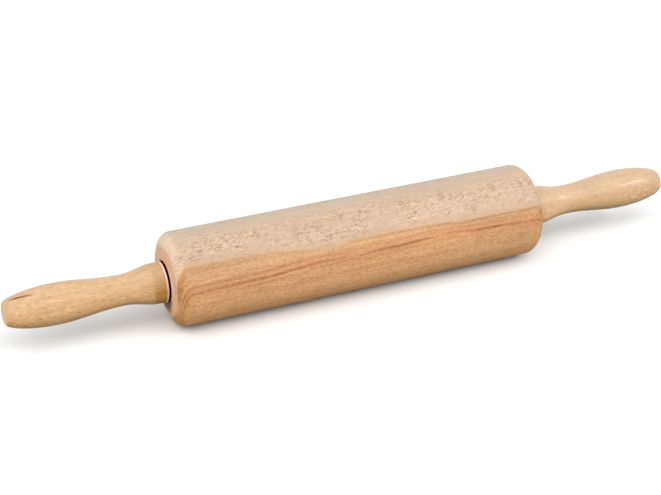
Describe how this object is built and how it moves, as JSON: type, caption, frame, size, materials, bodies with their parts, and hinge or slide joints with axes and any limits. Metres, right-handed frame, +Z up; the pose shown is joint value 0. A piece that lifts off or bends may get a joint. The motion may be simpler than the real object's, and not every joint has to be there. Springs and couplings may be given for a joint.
{
  "type": "rolling pin",
  "caption": "Turned wooden rolling pin: a barrel with rounded ends spins on a steel axle between swelled handles, with flanged bushes and thrust washers hidden in the joints.",
  "frame": {"origin": "the point on the table under the middle of the barrel, where the barrel's lowest flat rests", "axes": "+X along the axle towards the right handle in the picture, +Z up, +Y away from the viewer"},
  "size_m": [0.4564, 0.0598, 0.0597],
  "materials": {
    "barrel_beech": "satin oiled beech with fine flecks",
    "handle_beech": "satin oiled beech",
    "steel": "bright drawn steel",
    "dark_nylon": "matt moulded nylon"
  },
  "bodies": {
    "handles": {"axle": "steel", "handle_left": "handle_beech", "handle_right": "handle_beech"},
    "washers": {"washer_left": "steel", "washer_right": "steel"},
    "barrel": {"barrel": "barrel_beech", "bush_left": "dark_nylon", "bush_right": "dark_nylon"}
  },
  "joints": [
    {"name": "end_float", "type": "slide", "parent": "handles", "child": "washers", "axis": [1, 0, 0], "range_m": [-0.0006, 0.0006]},
    {"name": "barrel_spin", "type": "hinge", "parent": "washers", "child": "barrel", "pos_m": [0, 0, 0.02986], "axis": [1, 0, 0], "continuous": true}
  ]
}
